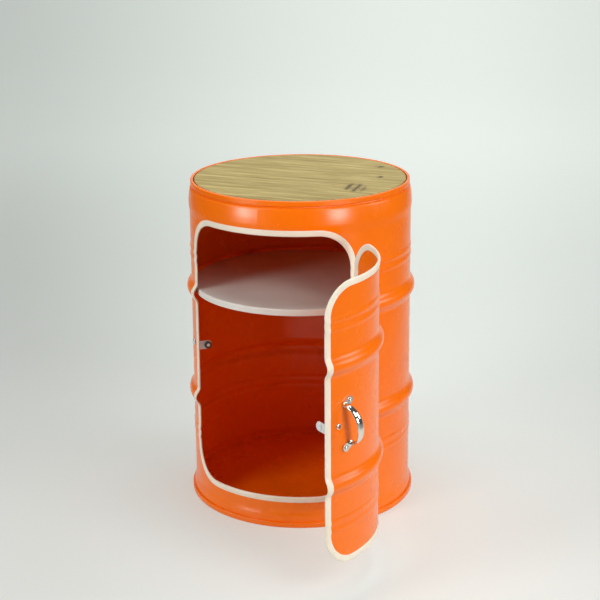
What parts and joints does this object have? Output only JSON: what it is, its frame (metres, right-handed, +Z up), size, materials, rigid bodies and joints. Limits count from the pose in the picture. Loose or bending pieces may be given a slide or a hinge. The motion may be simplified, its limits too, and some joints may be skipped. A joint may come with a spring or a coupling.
{
  "type": "barrel bar cabinet",
  "caption": "Upright steel drum made into a bar cabinet, with a door cut from its wall, rubber edge trim, an inner shelf and a round wooden top.",
  "frame": {"origin": "on the drum's axis, at the floor", "axes": "+Z up along the drum's axis; -Y is the middle of the door opening; +X is the hinged side's direction, so the hinge stands at +X -Y"},
  "size_m": [0.458, 0.6326, 0.58],
  "materials": {
    "orange_paint": "glossy orange enamel",
    "wood_board": "oiled knotty board",
    "white_board": "off-white painted board",
    "edge_rubber": "cream, satin",
    "zinc_steel": "zinc plated",
    "bright_steel": "polished",
    "magnet_steel": "dark, satin"
  },
  "bodies": {
    "cabinet": {"drum_shell": "orange_paint", "top_head": "orange_paint", "bottom_head": "orange_paint", "wood_top": "wood_board", "wood_top_screws": "zinc_steel", "shelf": "white_board", "shelf_screws": "zinc_steel", "shelf_tab_1": "orange_paint", "shelf_tab_2": "orange_paint", "shelf_tab_3": "orange_paint", "shelf_tab_4": "orange_paint", "opening_trim": "edge_rubber", "lower_hinge_barrel_leaf": "zinc_steel", "upper_hinge_barrel_leaf": "zinc_steel", "lower_hinge_pin": "zinc_steel", "upper_hinge_pin": "zinc_steel", "barrel_hinge_bolts": "zinc_steel", "barrel_hinge_nuts": "zinc_steel", "catch_bracket": "zinc_steel", "catch_bolt": "bright_steel", "catch_nut": "zinc_steel", "catch_magnet": "magnet_steel", "magnet_screw": "zinc_steel", "magnet_nut": "zinc_steel"},
    "door": {"door_panel": "orange_paint", "door_trim": "edge_rubber", "door_handle": "bright_steel", "handle_screws": "bright_steel", "handle_nuts": "zinc_steel", "lower_hinge_door_leaf": "zinc_steel", "upper_hinge_door_leaf": "zinc_steel", "door_hinge_bolts": "zinc_steel", "door_hinge_nuts": "zinc_steel", "strike_bracket": "zinc_steel", "strike_plate": "zinc_steel", "strike_rivet": "zinc_steel", "strike_bolt": "bright_steel", "strike_nut": "zinc_steel"}
  },
  "joints": [
    {"name": "door_swing", "type": "hinge", "parent": "cabinet", "child": "door", "pos_m": [0.15129, -0.13595, 0.29], "axis": [0, 0, 1], "range_deg": [-100, 35]}
  ]
}
